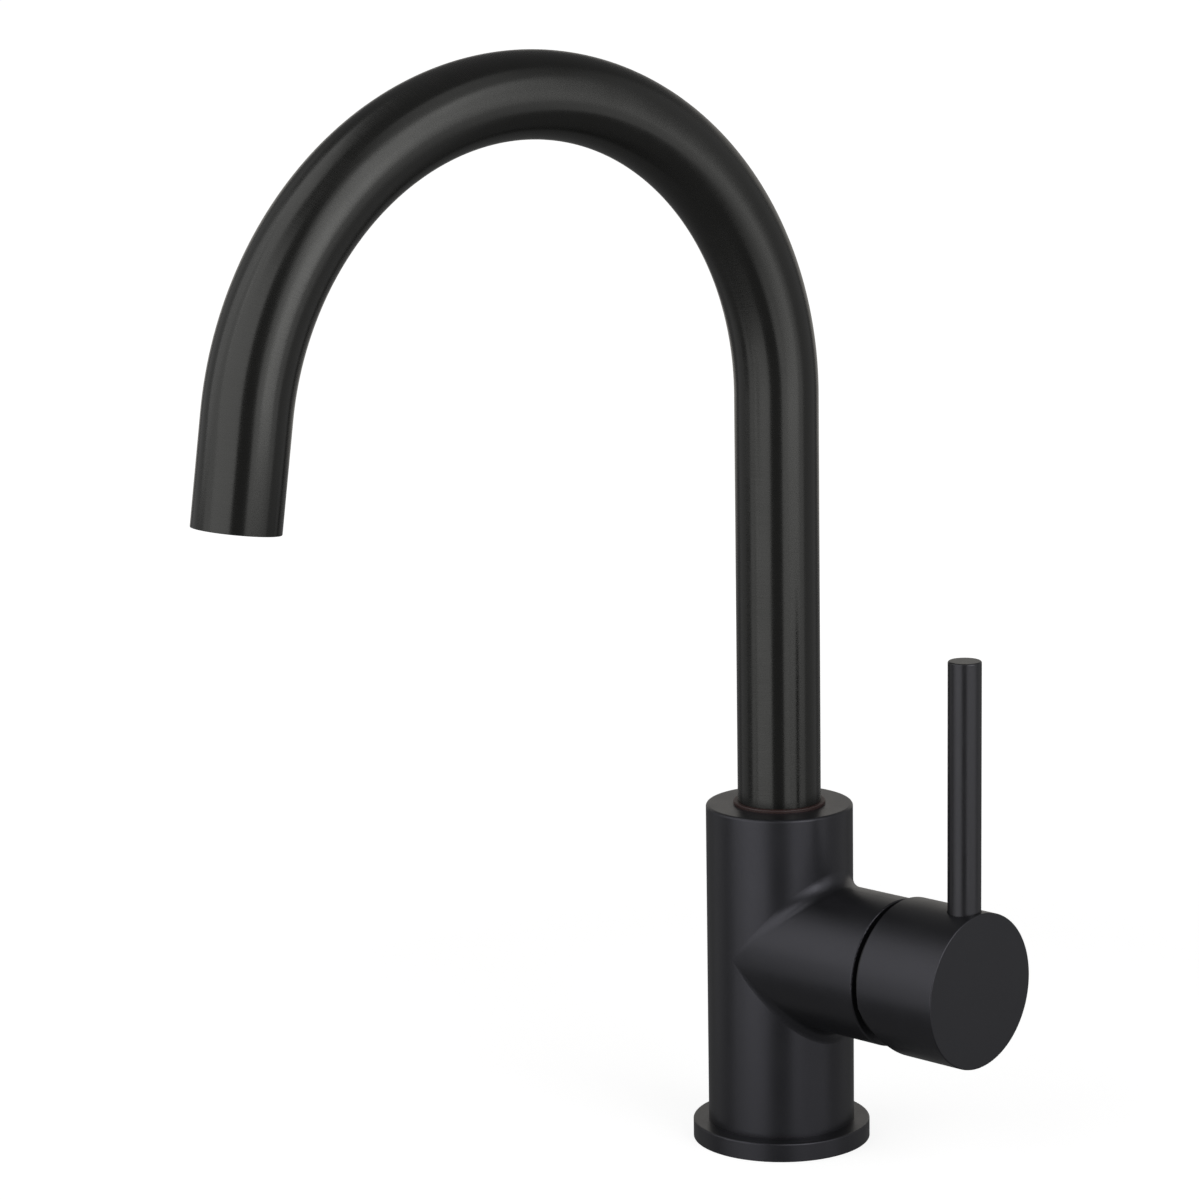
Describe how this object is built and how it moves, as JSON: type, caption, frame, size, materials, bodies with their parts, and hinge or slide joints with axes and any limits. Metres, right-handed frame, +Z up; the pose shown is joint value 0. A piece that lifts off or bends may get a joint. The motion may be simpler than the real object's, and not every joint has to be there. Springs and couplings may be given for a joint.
{
  "type": "vessel sink faucet",
  "caption": "Tall single lever basin mixer: round column with a side branch and drum handle with a straight pin, and a swivelling gooseneck spout.",
  "frame": {"origin": "centre of the base ring's underside, on the top of the deck, on the column's axis", "axes": "+Z up the column; +X along the branch towards the handle; -Y towards the basin, the spout at rest turned 8.3 degrees from -Y towards -X"},
  "size_m": [0.119, 0.2322, 0.3996],
  "materials": {
    "matte_black_body": "matte black coating over cast brass",
    "satin_black_tube": "satin black coating over drawn brass tube",
    "satin_black_pin": "satin black coating over steel",
    "dark_bonnet": "matte",
    "black_rubber": "matte",
    "red_brown_bush": "matte",
    "turned_brass": "turned",
    "plain_steel": "turned",
    "dark_plastic": "matte",
    "pale_plastic": "satin",
    "white_ceramic": "lapped"
  },
  "bodies": {
    "body": {"faucet_body": "matte_black_body", "base_ring": "matte_black_body", "base_gasket": "black_rubber", "lower_spout_bush": "red_brown_bush", "upper_spout_bush": "red_brown_bush", "spout_retaining_screw": "plain_steel", "cartridge_base": "pale_plastic", "port_seals": "black_rubber", "disc_seals": "black_rubber", "fixed_ceramic_disc": "white_ceramic", "cartridge_housing": "pale_plastic", "cartridge_nut": "turned_brass", "cartridge_bonnet": "dark_bonnet", "mounting_stud": "plain_steel", "rubber_horseshoe_washer": "black_rubber", "steel_horseshoe_washer": "plain_steel", "mounting_nut": "plain_steel"},
    "spout": {"spout_tube": "satin_black_tube", "spout_spigot": "turned_brass", "spout_o_rings": "black_rubber", "outlet_sleeve": "turned_brass", "aerator_housing": "dark_plastic", "aerator_honeycomb": "pale_plastic", "aerator_screens": "plain_steel", "aerator_diffuser": "pale_plastic", "aerator_seal": "black_rubber"},
    "rotor": {"cartridge_rotor": "pale_plastic", "rotor_seal": "black_rubber", "pivot_pin": "plain_steel"},
    "lever": {"lever_spindle": "plain_steel", "handle_cap": "matte_black_body", "lever_pin": "satin_black_pin", "handle_set_screw": "plain_steel", "set_screw_plug": "black_rubber"},
    "mixing_disc": {"disc_carrier": "pale_plastic", "moving_ceramic_disc": "white_ceramic"}
  },
  "joints": [
    {"name": "spout_swivel", "type": "hinge", "parent": "body", "child": "spout", "pos_m": [0, 0, 0.09], "axis": [0, 0, 1], "continuous": true},
    {"name": "handle_turn", "type": "hinge", "parent": "body", "child": "rotor", "pos_m": [0.0401, 0, 0.061], "axis": [1, 0, 0], "range_deg": [-50, 50]},
    {"name": "handle_lift", "type": "hinge", "parent": "rotor", "child": "lever", "pos_m": [0.0401, 0, 0.061], "axis": [0, 1, 0], "range_deg": [0, 22]},
    {"name": "mixing_disc_slide", "type": "slide", "parent": "rotor", "child": "mixing_disc", "axis": [0, 0, 1], "range_m": [0, 0.00375]}
  ],
  "couplings": [
    {"joint": "mixing_disc_slide", "follows": "handle_lift", "m_per_rad": 0.0097563}
  ]
}
